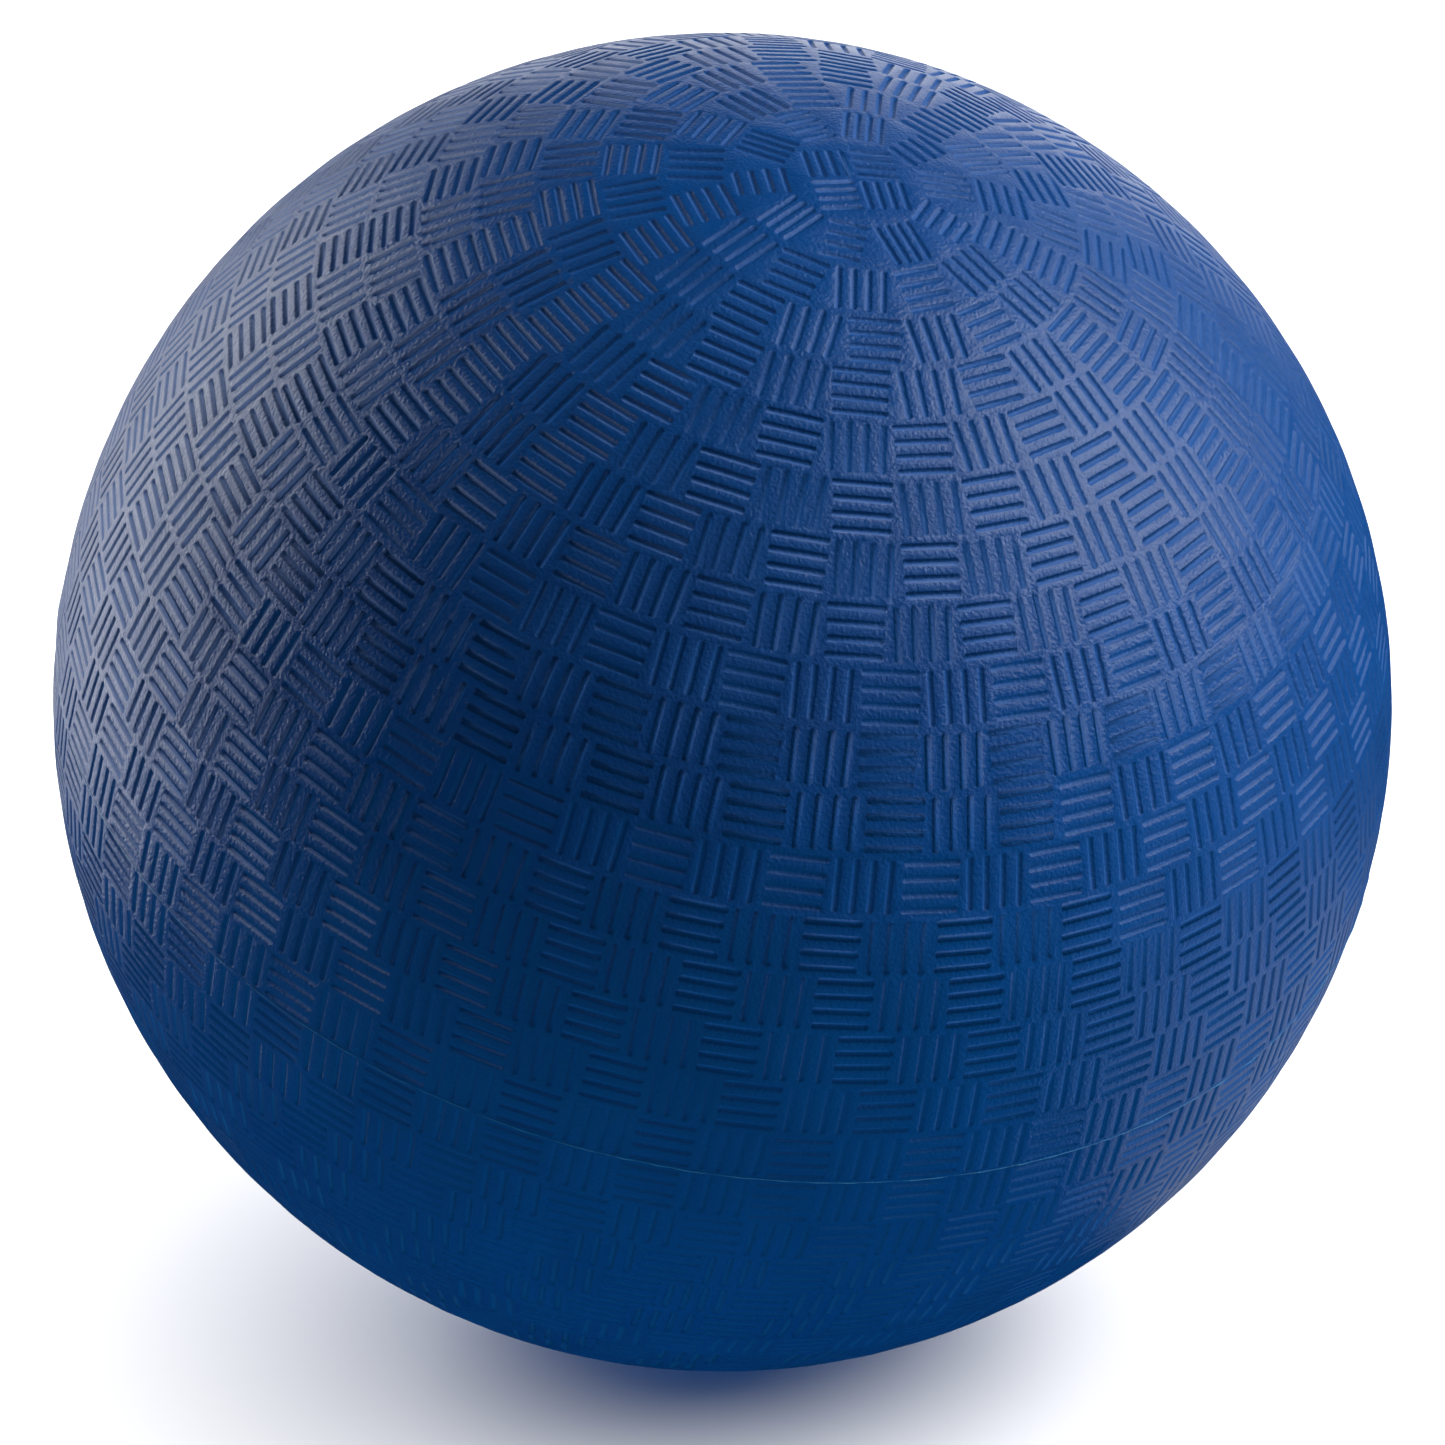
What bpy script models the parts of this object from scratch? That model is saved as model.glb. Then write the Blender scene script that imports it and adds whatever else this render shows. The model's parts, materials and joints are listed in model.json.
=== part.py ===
"""Playground ball: an inflated rubber ball, 8.5 inches across, with its self-sealing needle valve.

The ball is built in layers, from the inside out: a butyl bladder, a nylon winding, and a cover of
two moulded rubber halves that meet at a parting line.  The valve sits at +Y: a rubber housing with
a flange under the bladder, a reinforcing patch, and a plug that slides out along +Y.

Frame: origin at the centre of the ball, +Z up, metres.  The halves were moulded about one axis,
which leans forward, towards -Y, as the ball lies.
"""
import math

import bmesh
import bpy
from mathutils import Matrix, Vector

# ---- driving dimensions, in metres and degrees ----
BALL_DIAMETER = 0.2159
COVER_THICKNESS = 0.0016
WINDING_THICKNESS = 0.0005
BLADDER_THICKNESS = 0.0009
PATCH_THICKNESS = 0.0005
GAP = 0.0003
MOULD_TILT = 23.3

SEGMENTS = 40
RINGS = 24
VALVE_SEGMENTS = 32

LAND_RADIUS = 0.009
LAND_DEPTH = 0.0011
NIPPLE_RADIUS = 0.005
NIPPLE_RECESS = 0.0002
BORE_RADIUS = 0.0025
TUBE_RADIUS = 0.0046
TUBE_DEPTH = 0.022
FLANGE_RADIUS = 0.013
FLANGE_THICKNESS = 0.0014
PATCH_RADIUS = 0.017
PLUG_HEAD_RADIUS = 0.0033
PLUG_HEAD_THICKNESS = 0.0011
PLUG_LENGTH = 0.0165
PLUG_TIP_RADIUS = 0.0014
PLUG_TIP_LENGTH = 0.0008
NEEDLE_RADIUS = 0.00075
NEEDLE_DEPTH = 0.012
NEEDLE_CONE = 0.0003
ARC_POINTS = 4

# ---- sizes that follow from them ----
BALL_RADIUS = BALL_DIAMETER / 2
COVER_INNER = BALL_RADIUS - COVER_THICKNESS
WINDING_OUTER = COVER_INNER - GAP
WINDING_INNER = WINDING_OUTER - WINDING_THICKNESS
BLADDER_OUTER = WINDING_INNER - GAP
BLADDER_INNER = BLADDER_OUTER - BLADDER_THICKNESS
# the middle of a flat facet lies this much nearer to the centre than the sphere it approximates
FACET_SAG = BALL_RADIUS * (1 - math.cos(math.pi / SEGMENTS) * math.cos(math.pi / 2 / RINGS))
PATCH_OUTER = BLADDER_INNER - FACET_SAG - GAP
PATCH_INNER = PATCH_OUTER - PATCH_THICKNESS
FLANGE_OUTER = PATCH_INNER - GAP
FLANGE_INNER = FLANGE_OUTER - FLANGE_THICKNESS
VALVE_HOLE_RADIUS = NIPPLE_RADIUS + GAP
PLUG_RADIUS = BORE_RADIUS - GAP
COUNTERBORE_RADIUS = PLUG_HEAD_RADIUS + GAP
COUNTERBORE_DEPTH = PLUG_HEAD_THICKNESS + GAP
MERGE_DISTANCE = 1e-6


def clear_scene():
    """Remove every object of the open scene."""
    for item in list(bpy.data.objects):
        bpy.data.objects.remove(item, do_unlink=True)


def make_material(name, colour, roughness):
    """A plain Principled material for one sub-part."""
    material = bpy.data.materials.new(name)
    material.use_nodes = True
    shader = material.node_tree.nodes["Principled BSDF"]
    shader.inputs["Base Color"].default_value = (*colour, 1.0)
    shader.inputs["Roughness"].default_value = roughness
    shader.inputs["Metallic"].default_value = 0.0
    return material


def add_object(name, bm, material):
    """Turn a bmesh into a named object, shaded smooth except at its sharp edges."""
    mesh = bpy.data.meshes.new(name)
    bm.to_mesh(mesh)
    bm.free()
    mesh.shade_smooth()
    mesh.set_sharp_from_angle(angle=math.radians(40))
    if material is not None:
        mesh.materials.append(material)
    item = bpy.data.objects.new(name, mesh)
    bpy.context.scene.collection.objects.link(item)
    return item


def shell(outer_radius, inner_radius):
    """A hollow sphere about the local Z axis: an outer skin and an inner skin that faces inward."""
    bm = bmesh.new()
    bmesh.ops.create_uvsphere(bm, u_segments=SEGMENTS, v_segments=RINGS, radius=outer_radius)
    outer_faces = set(bm.faces)
    bmesh.ops.create_uvsphere(bm, u_segments=SEGMENTS, v_segments=RINGS, radius=inner_radius)
    inner_faces = [face for face in bm.faces if face not in outer_faces]
    bmesh.ops.reverse_faces(bm, faces=inner_faces)
    return bm


def tilt_to_mould(item):
    """Lean a layer's axis forward, from +Z towards -Y."""
    item.rotation_euler = (math.radians(MOULD_TILT), 0.0, 0.0)


def cover_half(name, side, material):
    """One moulded half of the cover: side is +1 for the upper half and -1 for the lower."""
    bm = shell(BALL_RADIUS, COVER_INNER)
    bmesh.ops.bisect_plane(
        bm,
        geom=[*bm.verts, *bm.edges, *bm.faces],
        plane_co=Vector((0.0, 0.0, side * GAP / 2)),
        plane_no=Vector((0.0, 0.0, float(side))),
        clear_inner=True,
    )
    rim = [edge for edge in bm.edges if edge.is_boundary]
    bmesh.ops.bridge_loops(bm, edges=rim)
    bmesh.ops.recalc_face_normals(bm, faces=bm.faces)
    item = add_object(name, bm, material)
    tilt_to_mould(item)
    return item


def layer(name, outer_radius, inner_radius, material):
    """One whole hollow layer under the cover."""
    item = add_object(name, shell(outer_radius, inner_radius), material)
    tilt_to_mould(item)
    return item


def valve_cylinder(name, radius, near, far):
    """A guide cylinder on the valve's axis, from near to far out along +Y."""
    bm = bmesh.new()
    centre = Matrix.Translation((0.0, (near + far) / 2, 0.0))
    bmesh.ops.create_cone(
        bm,
        cap_ends=True,
        segments=VALVE_SEGMENTS,
        radius1=radius,
        radius2=radius,
        depth=far - near,
        matrix=centre @ Matrix.Rotation(-math.pi / 2, 4, "X"),
    )
    item = add_object(name, bm, None)
    item.hide_render = True
    item.display_type = "WIRE"
    return item


def combine(item, tool, operation):
    """Add a Boolean modifier to a layer."""
    modifier = item.modifiers.new(operation.lower(), "BOOLEAN")
    modifier.operation = operation
    modifier.solver = "EXACT"
    modifier.object = tool


def cap_arc(sphere_radius, first, last):
    """Points of a round cap's outline, as (radius, height over the valve's mouth) pairs."""
    points = []
    for step in range(ARC_POINTS):
        radius = first + (last - first) * step / (ARC_POINTS - 1)
        height = math.sqrt(sphere_radius ** 2 - radius ** 2) - BALL_RADIUS
        points.append((radius, height))
    return points


def turned(name, outline, material):
    """Spin a closed outline about the valve's axis, with its zero height at the valve's mouth."""
    bm = bmesh.new()
    points = [bm.verts.new((radius, 0.0, height)) for radius, height in outline]
    edges = [bm.edges.new((a, b)) for a, b in zip(points, points[1:] + points[:1])]
    bmesh.ops.spin(
        bm,
        geom=[*points, *edges],
        cent=(0.0, 0.0, 0.0),
        axis=(0.0, 0.0, 1.0),
        angle=2 * math.pi,
        steps=VALVE_SEGMENTS,
        use_merge=True,
    )
    bmesh.ops.remove_doubles(bm, verts=bm.verts, dist=MERGE_DISTANCE)
    on_axis = [edge for edge in bm.edges if not edge.link_faces]
    bmesh.ops.delete(bm, geom=on_axis, context="EDGES")
    bmesh.ops.recalc_face_normals(bm, faces=bm.faces)
    item = add_object(name, bm, material)
    item.location = (0.0, BALL_RADIUS, 0.0)
    item.rotation_euler = (-math.pi / 2, 0.0, 0.0)
    return item


def make_cover():
    """Two moulded rubber halves; the lower one has a flat round land with the valve's hole in it."""
    rubber = make_material("cover_rubber", (0.018, 0.032, 0.17), 0.42)
    cover_half("cover_upper_half", 1, rubber)
    lower = cover_half("cover_lower_half", -1, rubber.copy())
    land = valve_cylinder("land_guide", LAND_RADIUS, BALL_RADIUS - LAND_DEPTH, BALL_RADIUS)
    combine(lower, land, "UNION")
    return lower


def make_carcass():
    """The nylon winding and the bladder, one inside the other."""
    nylon = make_material("winding_nylon", (0.62, 0.60, 0.54), 0.8)
    butyl = make_material("bladder_butyl", (0.025, 0.025, 0.027), 0.55)
    winding = layer("nylon_winding", WINDING_OUTER, WINDING_INNER, nylon)
    bladder = layer("butyl_bladder", BLADDER_OUTER, BLADDER_INNER, butyl)
    return winding, bladder


def cut_valve_hole(layers):
    """One hole through every layer, for the nipple of the valve's housing."""
    drill = valve_cylinder("valve_drill", VALVE_HOLE_RADIUS, BLADDER_INNER - LAND_RADIUS,
                           BALL_RADIUS + LAND_RADIUS)
    for item in layers:
        combine(item, drill, "DIFFERENCE")


def make_patch():
    """A reinforcing disc inside the bladder, with a hole for the nipple."""
    canvas = make_material("patch_canvas", (0.30, 0.27, 0.21), 0.85)
    outer_arc = cap_arc(PATCH_OUTER, VALVE_HOLE_RADIUS, PATCH_RADIUS)
    inner_arc = cap_arc(PATCH_INNER, PATCH_RADIUS, VALVE_HOLE_RADIUS)
    turned("valve_patch", outer_arc + inner_arc, canvas)


def make_housing():
    """The valve's rubber housing: nipple with a counterbore, flange under the patch, and inner tube."""
    rubber = make_material("housing_rubber", (0.03, 0.03, 0.032), 0.6)
    top = -NIPPLE_RECESS
    counterbore_floor = top - COUNTERBORE_DEPTH
    outline = [
        (NIPPLE_RADIUS, top),
        (COUNTERBORE_RADIUS, top),
        (COUNTERBORE_RADIUS, counterbore_floor),
        (BORE_RADIUS, counterbore_floor),
        (BORE_RADIUS, -TUBE_DEPTH),
        (TUBE_RADIUS, -TUBE_DEPTH),
    ]
    outline += cap_arc(FLANGE_INNER, TUBE_RADIUS, FLANGE_RADIUS)
    outline += cap_arc(FLANGE_OUTER, FLANGE_RADIUS, NIPPLE_RADIUS)
    turned("valve_housing", outline, rubber)


def make_plug():
    """The self-sealing plug, with a blind channel for the inflating needle."""
    rubber = make_material("plug_rubber", (0.02, 0.02, 0.022), 0.5)
    top = -NIPPLE_RECESS
    under_head = top - PLUG_HEAD_THICKNESS
    bottom = top - PLUG_LENGTH
    channel_end = top - NEEDLE_DEPTH
    outline = [
        (NEEDLE_RADIUS, top),
        (NEEDLE_RADIUS, channel_end),
        (0.0, channel_end - NEEDLE_CONE),
        (0.0, bottom),
        (PLUG_TIP_RADIUS, bottom),
        (PLUG_RADIUS, bottom + PLUG_TIP_LENGTH),
        (PLUG_RADIUS, under_head),
        (PLUG_HEAD_RADIUS, under_head),
        (PLUG_HEAD_RADIUS, top),
    ]
    turned("valve_plug", outline, rubber)


def build_ball():
    """Make every piece of the ball."""
    clear_scene()
    lower_cover = make_cover()
    winding, bladder = make_carcass()
    cut_valve_hole([lower_cover, winding, bladder])
    make_patch()
    make_housing()
    make_plug()


build_ball()
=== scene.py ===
"""Looks of the playground ball: the moulded basket-weave cover, its valve, and a pale studio.

The CAD halves of the cover are plain shells.  Here each one is rebuilt with its real surface: rings
of square blocks about the mould's axis, each block with four parallel grooves, laid along the ring
and across it by turns.  Places on the ball are degrees of latitude and longitude about that axis.
"""
import json
import math

import bpy
import numpy as np
from mathutils import Matrix, Vector, noise
from mathutils.geometry import delaunay_2d_cdt


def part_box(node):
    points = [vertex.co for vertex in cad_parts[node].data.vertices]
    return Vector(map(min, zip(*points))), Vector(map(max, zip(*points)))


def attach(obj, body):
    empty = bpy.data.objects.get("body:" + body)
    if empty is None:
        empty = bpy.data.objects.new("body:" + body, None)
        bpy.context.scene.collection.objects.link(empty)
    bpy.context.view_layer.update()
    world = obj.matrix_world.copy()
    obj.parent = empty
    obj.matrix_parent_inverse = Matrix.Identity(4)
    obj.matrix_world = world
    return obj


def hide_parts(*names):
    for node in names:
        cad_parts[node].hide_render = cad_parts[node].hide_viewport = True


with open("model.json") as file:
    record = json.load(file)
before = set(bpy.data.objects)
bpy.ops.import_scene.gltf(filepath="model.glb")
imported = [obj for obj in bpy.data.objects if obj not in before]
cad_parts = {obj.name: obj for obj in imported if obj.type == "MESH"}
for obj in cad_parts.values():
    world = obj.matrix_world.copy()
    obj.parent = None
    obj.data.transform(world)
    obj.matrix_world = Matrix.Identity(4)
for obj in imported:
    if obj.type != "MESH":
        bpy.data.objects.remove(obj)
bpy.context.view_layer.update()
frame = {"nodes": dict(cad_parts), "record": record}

# ---- the ball, from the frame; its layers' gap and the mould's tilt in degrees, as in the CAD ----
MOUNTS = {mount["name"]: mount for mount in frame["record"]["mounts"]}
BALL_RADIUS = MOUNTS["valve_land"]["pos_m"][1]
FLOOR_HEIGHT = MOUNTS["rest_point"]["pos_m"][2]
LAYER_GAP = 0.0003
COVER_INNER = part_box("nylon_winding")[1][0] + LAYER_GAP
INNER_DEPTH = COVER_INNER - BALL_RADIUS
MOULD_TILT = 23.3
DEGREE = BALL_RADIUS * math.pi / 180

# ---- the moulded pattern, in degrees unless a name says otherwise ----
RING_COUNT = 17
CORE_RADIUS = 5.4
RING_HEIGHT = (90 - CORE_RADIUS) / RING_COUNT
BLOCKS_AT_EQUATOR = 66
BLOCKS_AROUND_CORE = 10
# where each ring's first block starts, from the parting line to the pole, as the mould was engraved
RING_STARTS = (
    151, 146, 143.5, 157.5, 8, -86.5, 2.5, 151.5, -92,
    145, 153, 151, 44, 160.5, 163.5, 63.5, -48,
)
BLOCK_SPREAD = 1.08
CORE_TURN = -11
CORE_BLOCK = 4.05
SAG_SHARE = 0.5
LOWER_HALF_TURN = -0.6
POLE_DRIFT = 1.1
POLE_DRIFT_TOWARDS = 38
POLE_DRIFT_STARTS = 58
POLE_DRIFT_FULL = 85

GROOVES = 4
GROOVE_PITCH_SHARE = 0.261
GROOVE_HALF_WIDTH = 0.00063 / DEGREE
GROOVE_DEPTH = 0.00036
# a groove's cross-section: place from its middle in half widths, share of its depth, and slope there
GROOVE_SECTION = (
    (-1.00, 0, -0.12), (-0.64, 0.44, -0.82), (-0.13, 1, -0.25),
    (0.13, 1, 0.25), (0.64, 0.44, 0.82), (1.00, 0, 0.12),
)
# a groove's end: slopes at its lip and wall, the wall's length, and how far the end is rounded,
# both in half widths
END_LIP_SLOPE = 0.15
END_WALL_SLOPE = 0.3
END_WALL = 0.5
END_ROUNDING = 0.35
END_MARGIN_ACROSS_RING = 0.035
END_MARGIN_ALONG_RING = 0.05
BLOCK_JITTER = 0.03
END_JITTER = 0.08
WIDTH_JITTER = 0.08
DEPTH_JITTER = 0.12
LEAN_JITTER = 0.03
UPPER_SEED = 11
LOWER_SEED = 23
# this share of the grooves is filled with rubber over this share of its length
FILLED_SHARE = 0.012
FILLED_LENGTH = 1 / 3

# ---- the parting line ----
FLASH_POINTS = 1440
FLASH_HEIGHT = 0.00016
FLASH_WIDTH = 0.08
FLASH_FOOT_SLOPE = 0.1
FLASH_EDGE_SLOPE = 0.5
# the ridge wanders and its edge zigzags by these degrees, and it varies in height by this share
FLASH_WAVE = 0.07
FLASH_JAG = 0.10
FLASH_RAGGEDNESS = 0.9
# how fine the noise of each of these three is, in cells to one radius of the ball
WAVE_DETAIL = 9
JAG_DETAIL = 45
RAGGED_DETAIL = 30
FLASH_ZONE = 2 * FLASH_WIDTH + FLASH_WAVE
SEAM_HALF_GAP = 0.003
RIM_POINTS = 96
INNER_RINGS = 24
# a closed loop's keys start this much before its first point
KEY_MARGIN = 0.001
# points laid out flat are one point if they are as near as this
SAME_PLACE = 1e-7
# a distance to divide by is never less than this
TINY = 1e-9

# ---- materials: colours are linear red, green and blue; a surface varies between a pair of them ----
RUBBER_BLUES = ((0.0, 0.058, 0.245), (0.0, 0.066, 0.270))
# the grooves' lighter blue is painted light, standing in for light on their walls
GROOVE_PAINTED_LIGHT_BLUE = (0.0, 0.072, 0.285)
# the flash's pale blue is a painted highlight on its thin ridge
FLASH_PAINTED_HIGHLIGHT_BLUE = (0.14, 0.36, 0.60)
VALVE_BLACKS = ((0.016, 0.016, 0.018), (0.036, 0.036, 0.039))
BUTYL_AND_TALC = ((0.022, 0.022, 0.024), (0.10, 0.10, 0.10))
NYLON_TONES = ((0.36, 0.34, 0.30), (0.70, 0.68, 0.62))
CANVAS_TONES = ((0.16, 0.14, 0.10), (0.36, 0.32, 0.25))
FLOOR_TONES = ((0.78, 0.78, 0.79), (0.82, 0.82, 0.82))
RUBBER_IOR = 1.5
FLOOR_IOR = 1.3
# the threads' widths in metres, and how far a thread wavers
NYLON_THREAD = 0.0006
CANVAS_THREAD = 0.0008
THREAD_WAVER = 0.6

# ---- the camera, aimed near the ball's middle: degrees, metres, and millimetres for the lens ----
CAMERA_ELEVATION = 20
CAMERA_AZIMUTH = -25.6
CAMERA_DISTANCE = 10 * BALL_RADIUS
CAMERA_LENS = 166
SENSOR_WIDTH = 36
CLIP_START = 0.01
CAMERA_AIM_BELOW = 0.0033

# ---- the studio: where each light stands as seen by the camera (right, up, towards it) ----
LIGHT_DISTANCE = 1.1
# name, direction, long axis, length and width in metres a metre away, radiance, mirrored by the ball
LIGHTS = (
    ("right_softbox", (0.82, 0.52, 0.22), (0.0, 0.0, 1.0), 0.82, 0.80, 4.1, True),
    ("right_key", (0.85, 0.45, 0.28), (0.0, 0.0, 1.0), 0.80, 0.80, 2.45, False),
    ("front_fill", (0.20, 0.10, 0.97), (1.0, 0.0, 0.0), 1.20, 1.00, 0.30, False),
    ("left_softbox", (-0.82, 0.34, -0.42), (-0.45, 0.0, 0.89), 1.00, 1.10, 3.2, True),
    ("back_strip", (0.12, 0.55, -0.83), (1.0, 0.0, 0.0), 0.70, 0.60, 2.0, True),
    ("overhead", (0.10, 0.94, 0.34), (1.0, 0.0, 0.0), 0.80, 0.60, 0.8, False),
)
STUDIO_DARK = 0.003

# ---- the floor, and the light it throws back up at the ball ----
FLOOR_REACH = 1.1
FLOOR_SIDES = 96
FLOOR_LIGHT_HEIGHT = 0.9
FLOOR_LIGHT_SIZE = 3.5
FLOOR_LIGHT_RADIANCE = 2.0
FLOOR_GLOW_RISE = 0.002
# name, place on the floor as seen by the camera (right, away), width, radiance, mirrored by the ball
FLOOR_GLOWS = (
    ("floor_bounce", (0.0, 0.1), 1.0, 0.90, False),
    ("floor_sheen_right", (0.20, 0.01), 0.24, 0.55, True),
    ("floor_sheen_left", (-0.20, 0.01), 0.24, 0.45, True),
)
FLOOR_BOUNCE_COLOUR = (0.05, 0.75, 1.0)

# ---- the smooth land around the valve, in metres ----
LAND_RADIUS = 0.009
LAND_CLEARING = 0.0098
LAND_FADE = 0.0016
LAND_REACH = 0.026
HOLE_SEARCH = 1.5 * LAND_REACH
STEPS_NEAR_VALVE = 8
VALVE_HOLE = 0.0053
INNER_CLEARING = 1.2 * VALVE_HOLE
LAND_POINTS = 96
# the land's profile: radius past the land's edge or the hole's edge, drop below its top, slope
LAND_OUTSIDE = (0.0003, 0.15)
LAND_EDGE = ((-0.0001, 0.00028, 0.9), (-0.0003, 0.00006, 0.5), (-0.0006, 0.0, 0.05))
HOLE_EDGE = ((0.0004, 0.0, -0.05), (0.0001, 0.00008, -0.6), (0.0, 0.0003, -2.0))
VALVE_EDGE = 0.00015
VALVE_EDGE_STEPS = 3
SHARP_ANGLE = math.radians(40)
MERGE_DISTANCE = 1e-6


class Skin:
    """Points on the ball by latitude and longitude, with a height and a tilt, and triangles."""

    def __init__(self, seed, has_valve):
        self.random = np.random.default_rng(seed)
        self.has_valve = has_valve
        self.parts = []
        self.size = 0
        self.triangles = []

    def add(self, lat, lon, height, tilt_east=0.0, tilt_north=0.0):
        """Add points, given as arrays of one shape, and return their indices in that shape."""
        columns = np.broadcast_arrays(lat, lon, height, tilt_east, tilt_north)
        self.parts.append(np.stack(columns, axis=-1).reshape(-1, 5).astype(float))
        first = self.size
        self.size += columns[0].size
        return np.arange(first, self.size).reshape(columns[0].shape)

    def points(self):
        """All the points as rows of latitude, longitude, height and the two tilts."""
        self.parts = [np.concatenate(self.parts)]
        return self.parts[0]

    def faces(self):
        """All the triangles as rows of three indices."""
        self.triangles = [np.concatenate(self.triangles)]
        return self.triangles[0]

    def grid(self, index, flip=False):
        """Two triangles for each cell of a grid of points."""
        a = index[:-1, :-1].ravel()
        b = index[:-1, 1:].ravel()
        c = index[1:, 1:].ravel()
        d = index[1:, :-1].ravel()
        if flip:
            b, d = d, b
        self.triangles.append(np.stack([a, b, c], axis=-1))
        self.triangles.append(np.stack([a, c, d], axis=-1))

    def zip(self, right, right_keys, left, left_keys):
        """Fill the strip between two lines of points that run the same way, by their rising keys."""
        found = []
        i = 0
        j = 0
        while i < len(right) - 1 or j < len(left) - 1:
            left_done = j == len(left) - 1
            right_open = i < len(right) - 1
            if left_done or (right_open and right_keys[i + 1] <= left_keys[j + 1]):
                found.append((right[i], right[i + 1], left[j]))
                i += 1
            else:
                found.append((right[i], left[j + 1], left[j]))
                j += 1
        self.triangles.append(np.array(found))

    def zip_loops(self, right, left):
        """Fill the band between two closed loops, each a pair of points and longitudes."""
        start = left[1][0] - KEY_MARGIN
        self.zip(*loop_from(start, *right), *loop_from(start, *left))

    def fill(self, outer, holes, flat):
        """Triangles inside a closed loop of points laid out flat, leaving its holes open."""
        chosen = np.concatenate([outer, *holes])
        counts = [len(loop) for loop in (outer, *holes)]
        loops = [list(range(end - count, end)) for end, count in zip(np.cumsum(counts), counts)]
        corners = [Vector(corner) for corner in flat[chosen]]
        result = delaunay_2d_cdt(corners, [], loops, 0, SAME_PLACE)
        source = [origins[0] for origins in result[3]]
        # the first loop is the outer one, so a triangle inside it and in no hole lies within loop 0 alone
        inside = [face for face, within in zip(result[2], result[5]) if within == [0]]
        found = [[source[corner] for corner in face] for face in inside]
        self.triangles.append(chosen[np.array(found)])


def loop_from(start, points, keys):
    """A closed loop turned to begin just after a longitude, with its first point again at the end."""
    keys = start + (np.asarray(keys) - start) % 360
    first = int(np.argmin(keys))
    keys = np.maximum.accumulate(np.roll(keys, -first))
    points = np.roll(points, -first)
    return np.append(points, points[0]), np.append(keys, keys[0] + 360)


def smooth_step(value):
    value = np.clip(value, 0.0, 1.0)
    return value * value * (3 - 2 * value)


def directions(lat, lon):
    """Unit vectors outward, east and north on the mould, which has its axis along +Z."""
    lat = np.radians(lat)
    lon = np.radians(lon)
    # longitude 0 faces -Y and longitude 90 faces +X
    outward = np.stack([np.cos(lat) * np.sin(lon), -np.cos(lat) * np.cos(lon), np.sin(lat)], axis=-1)
    east = np.stack([np.cos(lon), np.sin(lon), np.zeros_like(lon)], axis=-1)
    return outward, east, np.cross(outward, east)


def drifted(lat, lon):
    """Rings near the pole sit a little off the mould's axis."""
    away = smooth_step((lat - POLE_DRIFT_STARTS) / (POLE_DRIFT_FULL - POLE_DRIFT_STARTS)) * POLE_DRIFT
    x, y = pole_plane(lat, lon)
    x = x + away * math.cos(math.radians(POLE_DRIFT_TOWARDS))
    y = y + away * math.sin(math.radians(POLE_DRIFT_TOWARDS))
    return from_pole_plane(x, y)


def pole_plane(lat, lon):
    """Flat coordinates about the pole, in degrees."""
    far = 90 - lat
    return far * np.cos(np.radians(lon)), far * np.sin(np.radians(lon))


def from_pole_plane(x, y):
    return 90 - np.hypot(x, y), np.degrees(np.arctan2(y, x))


def valve_plane(lat, lon):
    """Flat coordinates about the valve, in metres along the surface, before the half is mirrored."""
    outward, east, north = directions(np.array(MOULD_TILT), np.array(180.0))
    place = directions(np.asarray(lat, float), np.asarray(lon, float))[0]
    angle = np.arccos(np.clip(place @ outward, -1, 1))
    x = place @ east
    y = place @ north
    scale = BALL_RADIUS * angle / np.maximum(np.hypot(x, y), TINY)
    return np.stack([x * scale, y * scale], axis=-1)


def laid_out(lat, lon, x, y):
    """Latitude and longitude of places given in degrees east and north of one place on the ball."""
    outward, east, north = directions(np.array(float(lat)), np.array(float(lon)))
    far = np.maximum(np.hypot(x, y), TINY)
    sideways = (x / far)[..., None] * east + (y / far)[..., None] * north
    angle = np.radians(far)[..., None]
    place = np.cos(angle) * outward + np.sin(angle) * sideways
    return np.degrees(np.arcsin(place[..., 2])), np.degrees(np.arctan2(place[..., 0], -place[..., 1]))


def groove_rows(low, high, round_end, run_out, steps):
    """The rows of one line of points along a groove: place, share of the depth, slope along."""
    wall = END_WALL * GROOVE_HALF_WIDTH
    first = low + round_end + wall
    last = high - round_end - wall - run_out
    rows = [(first + (last - first) * step / steps, 1, 0) for step in range(steps + 1)]
    rows[0] = (first, 1, -END_WALL_SLOPE)
    rows[-1] = (last, 1, END_WALL_SLOPE)
    return [(low + round_end, 0, -END_LIP_SLOPE), *rows, (high - round_end, 0, END_LIP_SLOPE)]


def grooved_block(random, across, along, end_margin, steps=1):
    """A block's points, rows along its grooves: across, along, height, tilt across, tilt along."""
    columns = []
    for groove in range(GROOVES):
        centre = (groove - (GROOVES - 1) / 2) * across * GROOVE_PITCH_SHARE
        width = GROOVE_HALF_WIDTH * (1 + WIDTH_JITTER * random.uniform(-1, 1))
        depth = GROOVE_DEPTH * (1 + DEPTH_JITTER * random.uniform(-1, 1))
        lean = LEAN_JITTER * random.uniform(-1, 1)
        low = -along / 2 + end_margin + END_JITTER * random.uniform(-0.5, 1)
        high = along / 2 - end_margin - END_JITTER * random.uniform(-0.5, 1)
        run_out = (high - low) * FILLED_LENGTH if random.random() < FILLED_SHARE else 0
        for offset, share, slope in GROOVE_SECTION:
            round_end = END_ROUNDING * offset ** 2 * width
            column = []
            for place, full, slope_along in groove_rows(low, high, round_end, run_out, steps):
                x = centre + offset * width + lean * place / along
                height = -depth * share * full
                column.append((x, place, height, -slope * full, -slope_along * share))
            columns.append(column)
    return np.array(columns).transpose(1, 0, 2)


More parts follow.
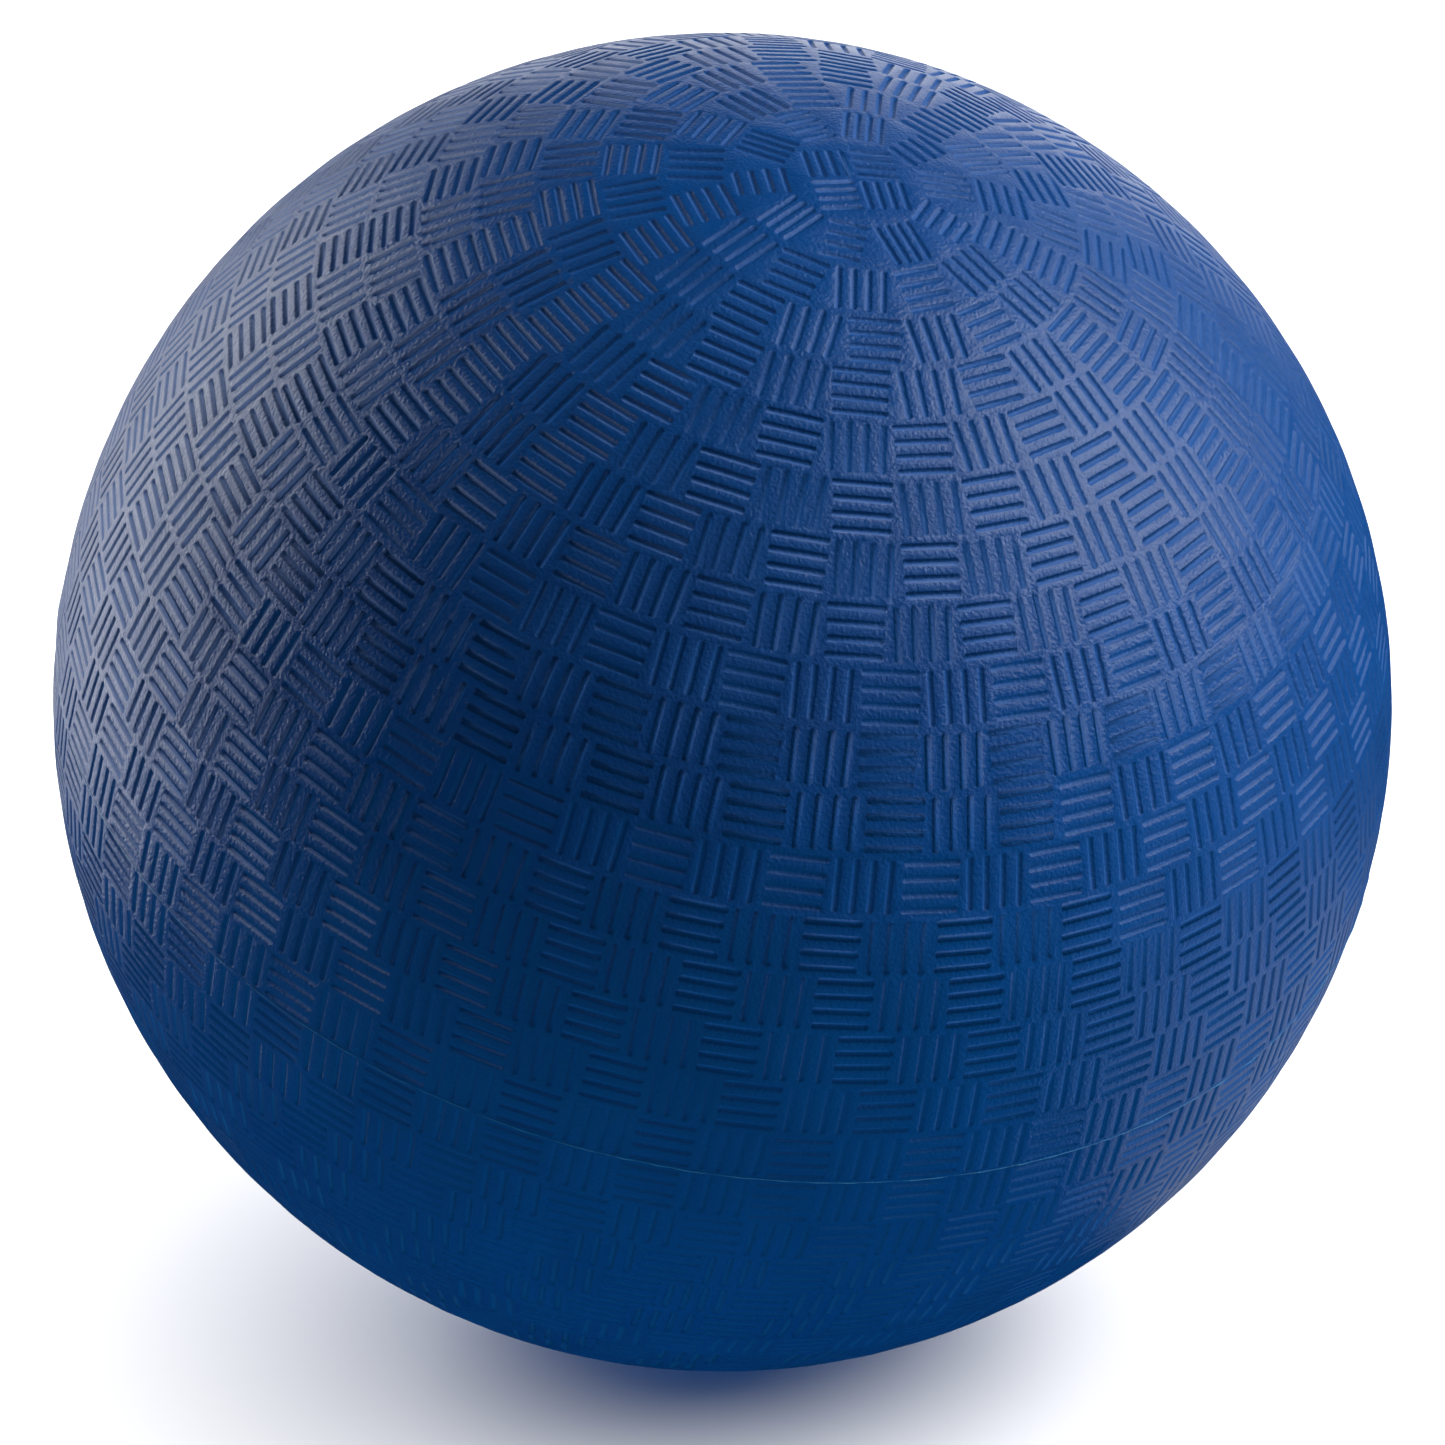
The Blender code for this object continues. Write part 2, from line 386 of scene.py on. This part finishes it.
class Block:
    """A block's grid of points on the skin, its rows running east and its columns north."""

    def __init__(self, skin, cells, along_ring, place):
        if along_ring:
            east, north = cells[..., 1], cells[..., 0]
            tilt_east, tilt_north = cells[..., 4], cells[..., 3]
        else:
            east, north = cells[..., 0], cells[..., 1]
            tilt_east, tilt_north = cells[..., 3], cells[..., 4]
        lat, lon, tilt_east, tilt_north = place(east, north, tilt_east, tilt_north)
        index = skin.add(lat, lon, cells[..., 2], tilt_east, tilt_north)
        skin.grid(index, flip=along_ring)
        self.index = index.T if along_ring else index

    def outline(self):
        """The points around the block, counter-clockwise."""
        index = self.index
        return np.concatenate([index[0, :-1], index[:-1, -1], index[-1, :0:-1], index[:0:-1, 0]])


def blocks_in_ring(ring, middle):
    """An odd number of blocks, so that each ring closes with two like blocks side by side."""
    if ring == RING_COUNT - 1:
        return BLOCKS_AROUND_CORE
    about = BLOCKS_AT_EQUATOR * math.cos(math.radians(middle))
    return 2 * round((about - 1) / 2) + 1


def add_ring(skin, ring, turn):
    """One ring of blocks, laid along the ring and across it by turns."""
    middle = (ring + 0.5) * RING_HEIGHT
    count = blocks_in_ring(ring, middle)
    pitch = 360 / count
    room = pitch * math.cos(math.radians(middle + RING_HEIGHT / 2))
    width = min(pitch * math.cos(math.radians(middle)), BLOCK_SPREAD * room)
    # a straight block's ends reach out of its ring, so it is made smaller by a share of that
    sag = SAG_SHARE * (math.hypot(90 - middle, width / 2) - (90 - middle))
    height = RING_HEIGHT - sag
    random = skin.random
    blocks = []
    for number in range(count):
        along_ring = number % 2 == 0
        shift_east = BLOCK_JITTER * random.uniform(-1, 1)
        shift_north = BLOCK_JITTER * random.uniform(-1, 1) + sag / 2
        centre = RING_STARTS[ring] + turn + (number + 0.5) * pitch

        def place(east, north, tilt_east, tilt_north):
            lat, lon = laid_out(middle, centre, east + shift_east, north + shift_north)
            turned = np.radians(lon - centre) * math.sin(math.radians(middle))
            return (lat, lon, tilt_east * np.cos(turned) + tilt_north * np.sin(turned),
                    tilt_north * np.cos(turned) - tilt_east * np.sin(turned))

        near_valve = np.hypot(*valve_plane(middle, centre)) < LAND_REACH
        steps = STEPS_NEAR_VALVE if near_valve and skin.has_valve else 1
        if along_ring:
            end_margin = END_MARGIN_ALONG_RING * width
            cells = grooved_block(random, height, width, end_margin, steps)
        else:
            end_margin = END_MARGIN_ACROSS_RING * height
            cells = grooved_block(random, width, height, end_margin, steps)
        blocks.append(Block(skin, cells, along_ring, place))
    return blocks


def add_core(skin):
    """The four blocks at the pole."""
    turn = math.radians(CORE_TURN)
    half = CORE_BLOCK / 2
    blocks = []
    for side_x in (-1, 1):
        for side_y in (-1, 1):
            def place(across, along, tilt_x, tilt_y):
                x = side_x * half + across
                y = side_y * half + along
                far_x = x * math.cos(turn) - y * math.sin(turn)
                far_y = x * math.sin(turn) + y * math.cos(turn)
                lat, lon = from_pole_plane(far_x, far_y)
                around = np.radians(lon) - turn
                tilt_out = tilt_x * np.cos(around) + tilt_y * np.sin(around)
                tilt_east = tilt_y * np.cos(around) - tilt_x * np.sin(around)
                return lat, lon, tilt_east, -tilt_out

            cells = grooved_block(skin.random, CORE_BLOCK, CORE_BLOCK, END_MARGIN_ALONG_RING * CORE_BLOCK)
            blocks.append(Block(skin, cells, side_x * side_y > 0, place))
    return blocks


def noise_around(lon, level, detail):
    """Noise between about -1 and 1 along the parting line; each level has a noise of its own."""
    places = [Vector((math.cos(turn), math.sin(turn), level)) for turn in np.radians(lon)]
    return np.array([noise.noise(place * detail) for place in places])


def add_parting_line(skin, side):
    """The thin, ragged ridge of flash at the parting line, in the same place on both halves."""
    lon = np.arange(FLASH_POINTS) * 360 / FLASH_POINTS
    height = FLASH_HEIGHT * (1 + FLASH_RAGGEDNESS * noise_around(lon, 0.0, RAGGED_DETAIL))
    middle = SEAM_HALF_GAP + side * FLASH_WAVE * noise_around(lon, 1.0, WAVE_DETAIL)
    edge_lat = middle + side * FLASH_JAG * noise_around(lon, 2.0, JAG_DETAIL)
    foot = skin.add(middle + FLASH_WIDTH, lon, 0.0, 0.0, FLASH_FOOT_SLOPE)
    edge = skin.add(edge_lat, lon, height, 0.0, FLASH_EDGE_SLOPE)
    rows = np.stack([edge, foot])
    skin.grid(np.concatenate([rows, rows[:, :1]], axis=1))
    return foot, (edge, lon)


def add_inner_skin(skin, edge):
    """The inside face of the half, facing the winding, and the flat rim that joins it on."""
    lon = np.arange(RIM_POINTS) * 360 / RIM_POINTS
    lat = SEAM_HALF_GAP + (90 - SEAM_HALF_GAP) * np.arange(INNER_RINGS)[:, None] / INNER_RINGS
    rows = skin.add(lat, lon[None, :], INNER_DEPTH)
    skin.zip_loops((rows[0], lon), edge)
    skin.grid(np.concatenate([rows, rows[:, :1]], axis=1), flip=True)
    pole = skin.add(np.array(90.0), 0.0, INNER_DEPTH)
    last = rows[-1]
    after = np.roll(last, -1)
    skin.triangles.append(np.stack([last, np.full_like(last, pole), after], axis=-1))


def hole_loop(triangles, flat):
    """The edge of the hole left near the valve, in order around it."""
    near = triangles[np.hypot(*flat[triangles].mean(axis=1).T) < HOLE_SEARCH]
    sides = {(a, b) for face in near for a, b in zip(face, np.roll(face, -1))}
    follows = {b: a for a, b in sides if (b, a) not in sides and np.hypot(*flat[a]) < LAND_REACH}
    start = next(iter(follows))
    loop = [start]
    while follows[loop[-1]] != start:
        loop.append(follows[loop[-1]])
    return np.array(loop)


def circle(skin, radius, height, tilt_out):
    """A ring of points around the valve; height is above the ball's own surface there."""
    angle = np.arange(LAND_POINTS) * 2 * math.pi / LAND_POINTS
    x = np.cos(angle)
    y = np.sin(angle)
    lat, lon = laid_out(MOULD_TILT, 180, radius / DEGREE * x, radius / DEGREE * y)
    return skin.add(lat, lon, height, tilt_out * x, tilt_out * y)


def flat_height(radius, drop):
    """Height above the ball's surface of a plane square to the valve's axis, drop below its top."""
    return (BALL_RADIUS - drop) / math.cos(radius / BALL_RADIUS) - BALL_RADIUS


def add_valve_land(skin):
    """Smooth ground around the valve, a flat round land with eased edges, and the hole through."""
    points = skin.points()
    flat = valve_plane(points[:, 0], points[:, 1])
    far = np.hypot(flat[:, 0], flat[:, 1])
    outer = points[:, 2] > INNER_DEPTH / 2
    faded = np.where(outer, smooth_step((far - LAND_CLEARING) / LAND_FADE), 1.0)
    points[:, 2:] *= faded[:, None]
    triangles = skin.faces()
    outside = far[triangles].min(axis=1)
    outer_faces = outer[triangles].all(axis=1)
    clear = np.where(outer_faces, LAND_CLEARING, INNER_CLEARING)
    kept = triangles[outside > clear]
    is_outer = outer_faces[outside > clear]
    skin.triangles = [kept]
    outer_loop = hole_loop(kept[is_outer], flat)
    inner_loop = hole_loop(kept[~is_outer], flat)

    past, slope = LAND_OUTSIDE
    profile = [(LAND_RADIUS + past, 0.0, slope)]
    for radius, edge in ((LAND_RADIUS, LAND_EDGE), (VALVE_HOLE, HOLE_EDGE)):
        for past, drop, slope in edge:
            profile.append((radius + past, flat_height(radius, drop), slope))
    profile.append((VALVE_HOLE, INNER_DEPTH, slope))
    rows = np.stack([circle(skin, *step) for step in profile])
    skin.grid(np.concatenate([rows, rows[:, :1]], axis=1))
    points = skin.points()
    flat = valve_plane(points[:, 0], points[:, 1])

    skin.fill(outer_loop, [rows[0]], flat)
    skin.fill(inner_loop[::-1], [rows[-1]], flat)
    skin.triangles[-1] = skin.triangles[-1][:, ::-1]


def make_half(name, side, seed):
    """One half of the cover: side is 1 for the upper half and -1 for its mirror image below."""
    turn = 0 if side > 0 else LOWER_HALF_TURN
    skin = Skin(seed, has_valve=side < 0)
    rings = [add_ring(skin, ring, turn) for ring in range(RING_COUNT)]
    rings.append(add_core(skin))
    foot, edge = add_parting_line(skin, side)
    flat = np.stack(pole_plane(*skin.points()[:, :2].T), axis=-1)
    skin.fill(foot, [block.outline() for ring in rings for block in ring], flat)
    add_inner_skin(skin, edge)
    if skin.has_valve:
        add_valve_land(skin)
    return skin_object(name, skin, side)


def skin_object(name, skin, side):
    """Turn a skin into a Blender mesh in the ball's place, with its own smooth normals."""
    used, faces = np.unique(skin.faces(), return_inverse=True)
    faces = faces.reshape(-1, 3)
    lat, lon, height, tilt_east, tilt_north = skin.points()[used].T
    lat, lon = drifted(lat, lon)
    if side < 0:
        lat = -lat
        tilt_north = -tilt_north
        faces = faces[:, ::-1]
    outward, east, north = directions(lat, lon)
    coords = outward * (BALL_RADIUS + height)[:, None]
    normals = outward + east * tilt_east[:, None] + north * tilt_north[:, None]
    inner = height < 0.9 * INNER_DEPTH
    normals[inner] = -outward[inner]
    normals /= np.linalg.norm(normals, axis=1, keepdims=True)
    lean = np.array(Matrix.Rotation(math.radians(MOULD_TILT), 3, "X"))
    mesh = bpy.data.meshes.new(name)
    mesh.from_pydata((coords @ lean.T).tolist(), [], faces.tolist())
    mesh.polygons.foreach_set("use_smooth", [True] * len(faces))
    raised = np.where(np.abs(lat) < FLASH_ZONE, height / FLASH_HEIGHT, 0)
    for kind, share in (("groove", -height / GROOVE_DEPTH), ("flash", raised)):
        kept = mesh.attributes.new(kind, "FLOAT", "POINT")
        kept.data.foreach_set("value", np.clip(share, 0, 1))
    mesh.normals_split_custom_set_from_vertices((normals @ lean.T).tolist())
    piece = bpy.data.objects.new(name, mesh)
    bpy.context.scene.collection.objects.link(piece)
    return piece


upper = make_half("moulded_cover_upper", 1, UPPER_SEED)
lower = make_half("moulded_cover_lower", -1, LOWER_SEED)
for piece, node in ((upper, "cover_upper_half"), (lower, "cover_lower_half")):
    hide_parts(node)
    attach(piece, "ball")


class Nodes:
    """Builds one material's node tree in short steps."""

    def __init__(self, name):
        self.material = bpy.data.materials.new(name)
        self.material.use_nodes = True
        self.tree = self.material.node_tree
        self.shader = self.tree.nodes["Principled BSDF"]

    def add(self, kind, **inputs):
        node = self.tree.nodes.new(kind)
        for name, value in inputs.items():
            self.set(node, name.replace("_", " "), value)
        return node

    def set(self, node, name, value):
        """Give an input a value, or link it to another node's output."""
        if isinstance(value, bpy.types.NodeSocket):
            self.tree.links.new(value, node.inputs[name])
        else:
            node.inputs[name].default_value = value

    def place(self):
        """Coordinates fixed to the object, in metres."""
        return self.add("ShaderNodeTexCoord").outputs["Object"]

    def attribute(self, name):
        """A value kept with the mesh's points."""
        node = self.add("ShaderNodeAttribute")
        node.attribute_name = name
        return node.outputs["Fac"]

    def noise(self, size, detail):
        """Noise from 0 to 1 whose features are about size metres across."""
        node = self.add("ShaderNodeTexNoise", Vector=self.place(), Scale=1 / size, Detail=detail)
        return node.outputs["Fac"]

    def threads(self, width, turn):
        """Parallel threads from 0 to 1, as wide as width in metres, turned about the Y axis."""
        lie = self.add("ShaderNodeVectorRotate", Vector=self.place(), Axis=(0.0, 1.0, 0.0), Angle=turn)
        # a wave texture of scale 1 repeats every pi / 10 metres
        node = self.add("ShaderNodeTexWave", Vector=lie.outputs["Vector"], Scale=math.pi / 10 / width,
                        Distortion=THREAD_WAVER)
        return node.outputs["Fac"]

    def ramp(self, value, low, high, to_low, to_high):
        """A value from low to high made into one from to_low to to_high."""
        node = self.add("ShaderNodeMapRange")
        limits = {"From Min": low, "From Max": high, "To Min": to_low, "To Max": to_high}
        for name, number in limits.items():
            node.inputs[name].default_value = number
        self.set(node, "Value", value)
        return node.outputs["Result"]

    def level(self, factor, first, second):
        """A value between two others."""
        return self.add("ShaderNodeMix", Factor=factor, A=first, B=second).outputs["Result"]

    def blend(self, factor, first, second):
        """A colour between two others."""
        node = self.add("ShaderNodeMix")
        node.data_type = "RGBA"
        self.set(node, "Factor", factor)
        for index, colour in ((6, first), (7, second)):
            if isinstance(colour, bpy.types.NodeSocket):
                self.tree.links.new(colour, node.inputs[index])
            else:
                node.inputs[index].default_value = (*colour, 1.0)
        return node.outputs[2]

    def bump(self, height, distance, below=None):
        """A normal raised by a height from 0 to 1 standing for a distance in metres."""
        node = self.add("ShaderNodeBump", Height=height, Distance=distance)
        if below is not None:
            self.set(node, "Normal", below)
        return node.outputs["Normal"]

    def finish(self, **inputs):
        for name, value in inputs.items():
            self.set(self.shader, name.replace("_", " "), value)
        return self.material


def cover_material():
    """Blue moulded rubber: satin on the land, duller in the grooves and painted a lighter blue there as
    painted light on their walls, with a pale painted highlight on the flash.
    """
    nodes = Nodes("blue_rubber")
    groove = nodes.attribute("groove")
    mottle = nodes.ramp(nodes.noise(0.018, 3), 0.35, 0.65, 0.0, 1.0)
    colour = nodes.blend(mottle, *RUBBER_BLUES)
    # grooves are painted a lighter blue: painted light standing in for their lit walls
    colour = nodes.blend(nodes.ramp(groove, 0.1, 0.6, 0.0, 0.8), colour, GROOVE_PAINTED_LIGHT_BLUE)
    # the raised flash is painted pale: a painted highlight along its ridge
    flash_highlight = nodes.ramp(nodes.attribute("flash"), 0.25, 0.9, 0.0, 0.7)
    colour = nodes.blend(flash_highlight, colour, FLASH_PAINTED_HIGHLIGHT_BLUE)
    worn = nodes.ramp(nodes.noise(0.004, 3), 0.3, 0.7, 0.36, 0.44)
    gloss = nodes.level(nodes.ramp(groove, 0.1, 0.5, 0.0, 1.0), worn, 0.66)
    normal = nodes.bump(nodes.noise(0.0030, 2), 0.00004)
    normal = nodes.bump(nodes.noise(0.0006, 3), 0.00018, normal)
    return nodes.finish(Base_Color=colour, Roughness=gloss, IOR=RUBBER_IOR, Normal=normal)


def valve_material():
    """Black rubber of the valve, with a faint grey bloom."""
    nodes = Nodes("black_rubber")
    bloom = nodes.ramp(nodes.noise(0.0020, 3), 0.4, 0.7, 0.0, 1.0)
    colour = nodes.blend(bloom, *VALVE_BLACKS)
    gloss = nodes.ramp(nodes.noise(0.0008, 3), 0.3, 0.7, 0.45, 0.62)
    normal = nodes.bump(nodes.noise(0.0004, 3), 0.00003)
    return nodes.finish(Base_Color=colour, Roughness=gloss, IOR=RUBBER_IOR, Normal=normal)


def bladder_material():
    """Thin butyl, dusted with talc."""
    nodes = Nodes("butyl")
    dust = nodes.ramp(nodes.noise(0.012, 4), 0.45, 0.75, 0.0, 1.0)
    colour = nodes.blend(dust, *BUTYL_AND_TALC)
    gloss = nodes.ramp(dust, 0.0, 1.0, 0.40, 0.75)
    normal = nodes.bump(nodes.noise(0.0030, 3), 0.00005)
    return nodes.finish(Base_Color=colour, Roughness=gloss, IOR=RUBBER_IOR, Normal=normal)


def woven_material(name, thread, dark, pale):
    """Threads that cross at right angles, as wide as thread in metres, from a dark tone to a pale one."""
    nodes = Nodes(name)
    waves = [nodes.threads(thread, turn) for turn in (0.0, math.pi / 2)]
    weave = nodes.level(0.5, *waves)
    colour = nodes.blend(weave, dark, pale)
    gloss = nodes.ramp(weave, 0.0, 1.0, 0.90, 0.75)
    # crossing threads stand up by a quarter of their width
    return nodes.finish(Base_Color=colour, Roughness=gloss, Normal=nodes.bump(weave, thread / 4))


def repaint(piece, material):
    piece.data.materials.clear()
    piece.data.materials.append(material)


def ease_edges(item):
    """Round off the sharp edges of a CAD node as moulded rubber has them."""
    item.modifiers.new("weld", "WELD").merge_threshold = MERGE_DISTANCE
    bevel = item.modifiers.new("bevel", "BEVEL")
    bevel.width = VALVE_EDGE
    bevel.segments = VALVE_EDGE_STEPS
    bevel.angle_limit = SHARP_ANGLE
    bevel.harden_normals = True


rubber = cover_material()
repaint(upper, rubber)
repaint(lower, rubber)
valve_rubber = valve_material()
for node in ("valve_housing", "valve_plug"):
    repaint(frame["nodes"][node], valve_rubber)
    ease_edges(frame["nodes"][node])
repaint(frame["nodes"]["butyl_bladder"], bladder_material())
repaint(frame["nodes"]["nylon_winding"], woven_material("nylon", NYLON_THREAD, *NYLON_TONES))
repaint(frame["nodes"]["valve_patch"], woven_material("canvas", CANVAS_THREAD, *CANVAS_TONES))


def camera_axes():
    """The camera's right, up and backward directions."""
    lift = math.radians(CAMERA_ELEVATION)
    turn = math.radians(CAMERA_AZIMUTH)
    back = Vector((math.sin(turn) * math.cos(lift), -math.cos(turn) * math.cos(lift), math.sin(lift)))
    right = Vector((0.0, 0.0, 1.0)).cross(back).normalized()
    return Matrix((right, back.cross(right), back)).transposed()


def add_camera(axes):
    camera = bpy.data.objects.new("camera", bpy.data.cameras.new("camera"))
    camera.data.lens = CAMERA_LENS
    camera.data.sensor_width = SENSOR_WIDTH
    camera.data.clip_start = CLIP_START
    aim = axes @ Vector((0.0, -CAMERA_AIM_BELOW, CAMERA_DISTANCE))
    camera.matrix_world = Matrix.Translation(aim) @ axes.to_4x4()
    bpy.context.scene.collection.objects.link(camera)
    bpy.context.scene.camera = camera


def add_light(axes, name, direction, long_axis, length, width, radiance, mirrored):
    """A soft panel facing the ball from a direction in the camera's own frame."""
    towards = (axes @ Vector(direction)).normalized()
    side = axes @ Vector(long_axis)
    side = (side - towards * side.dot(towards)).normalized()
    light = bpy.data.lights.new(name, "AREA")
    light.shape = "RECTANGLE"
    light.size = length * LIGHT_DISTANCE
    light.size_y = width * LIGHT_DISTANCE
    light.energy = radiance * math.pi * light.size * light.size_y
    panel = bpy.data.objects.new(name, light)
    panel.visible_glossy = mirrored
    turn = Matrix((side, towards.cross(side), towards)).transposed()
    panel.matrix_world = Matrix.Translation(towards * LIGHT_DISTANCE) @ turn.to_4x4()
    bpy.context.scene.collection.objects.link(panel)


def add_floor():
    """A pale round floor, with a wide soft light of its own that whitens it around the shadow."""
    mesh = bpy.data.meshes.new("floor")
    turns = [corner * 2 * math.pi / FLOOR_SIDES for corner in range(FLOOR_SIDES)]
    ring = [(FLOOR_REACH * math.cos(turn), FLOOR_REACH * math.sin(turn), 0.0) for turn in turns]
    mesh.from_pydata(ring, [], [list(range(FLOOR_SIDES))])
    floor = bpy.data.objects.new("floor", mesh)
    floor.location = (0.0, 0.0, FLOOR_HEIGHT)
    bpy.context.scene.collection.objects.link(floor)
    nodes = Nodes("pale_floor")
    tone = nodes.blend(nodes.noise(0.15, 3), *FLOOR_TONES)
    repaint(floor, nodes.finish(Base_Color=tone, Roughness=0.9, IOR=FLOOR_IOR))
    floor.visible_diffuse = False
    floor.visible_glossy = False
    above = (0.0, 0.0, FLOOR_LIGHT_HEIGHT)
    add_panel("floor_light", above, FLOOR_LIGHT_SIZE, FLOOR_LIGHT_RADIANCE, [floor])


def add_panel(name, place, size, radiance, lit, facing_up=False):
    """A round panel lying level, shining down or up, that lights only some objects."""
    light = bpy.data.lights.new(name, "AREA")
    light.shape = "DISK"
    light.size = size
    light.energy = radiance * math.pi * math.pi * size ** 2 / 4
    panel = bpy.data.objects.new(name, light)
    panel.location = place
    panel.visible_camera = False
    if facing_up:
        panel.rotation_euler = (math.pi, 0.0, 0.0)
    bpy.context.scene.collection.objects.link(panel)
    chosen = bpy.data.collections.new("lit_by_" + name)
    for item in lit:
        chosen.objects.link(item)
    panel.light_linking.receiver_collection = chosen
    return panel


def add_floor_glows(lit):
    """What the bright floor throws up at the ball from below and behind."""
    turn = Matrix.Rotation(math.radians(CAMERA_AZIMUTH), 3, "Z")
    for name, (right, away), width, radiance, mirrored in FLOOR_GLOWS:
        place = turn @ Vector((right, away, FLOOR_HEIGHT + FLOOR_GLOW_RISE))
        panel = add_panel(name, place, width, radiance, lit, facing_up=True)
        panel.visible_glossy = mirrored
        panel.visible_diffuse = not mirrored
        if not mirrored:
            panel.data.color = FLOOR_BOUNCE_COLOUR


def add_world():
    """A white backdrop for the eye only: the studio around the ball is dark."""
    world = bpy.data.worlds.new("studio")
    world.use_nodes = True
    tree = world.node_tree
    shade = tree.nodes["Background"]
    path = tree.nodes.new("ShaderNodeLightPath")
    tone = tree.nodes.new("ShaderNodeMapRange")
    tone.inputs["To Min"].default_value = STUDIO_DARK
    tone.inputs["To Max"].default_value = 1.0
    tree.links.new(path.outputs["Is Camera Ray"], tone.inputs["Value"])
    tree.links.new(tone.outputs["Result"], shade.inputs["Strength"])
    shade.inputs["Color"].default_value = (1.0, 1.0, 1.0, 1.0)
    bpy.context.scene.world = world


axes = camera_axes()
add_camera(axes)
for light in LIGHTS:
    add_light(axes, *light)
add_floor()
add_floor_glows([upper, lower])
add_world()
bpy.context.scene.view_settings.view_transform = "Standard"
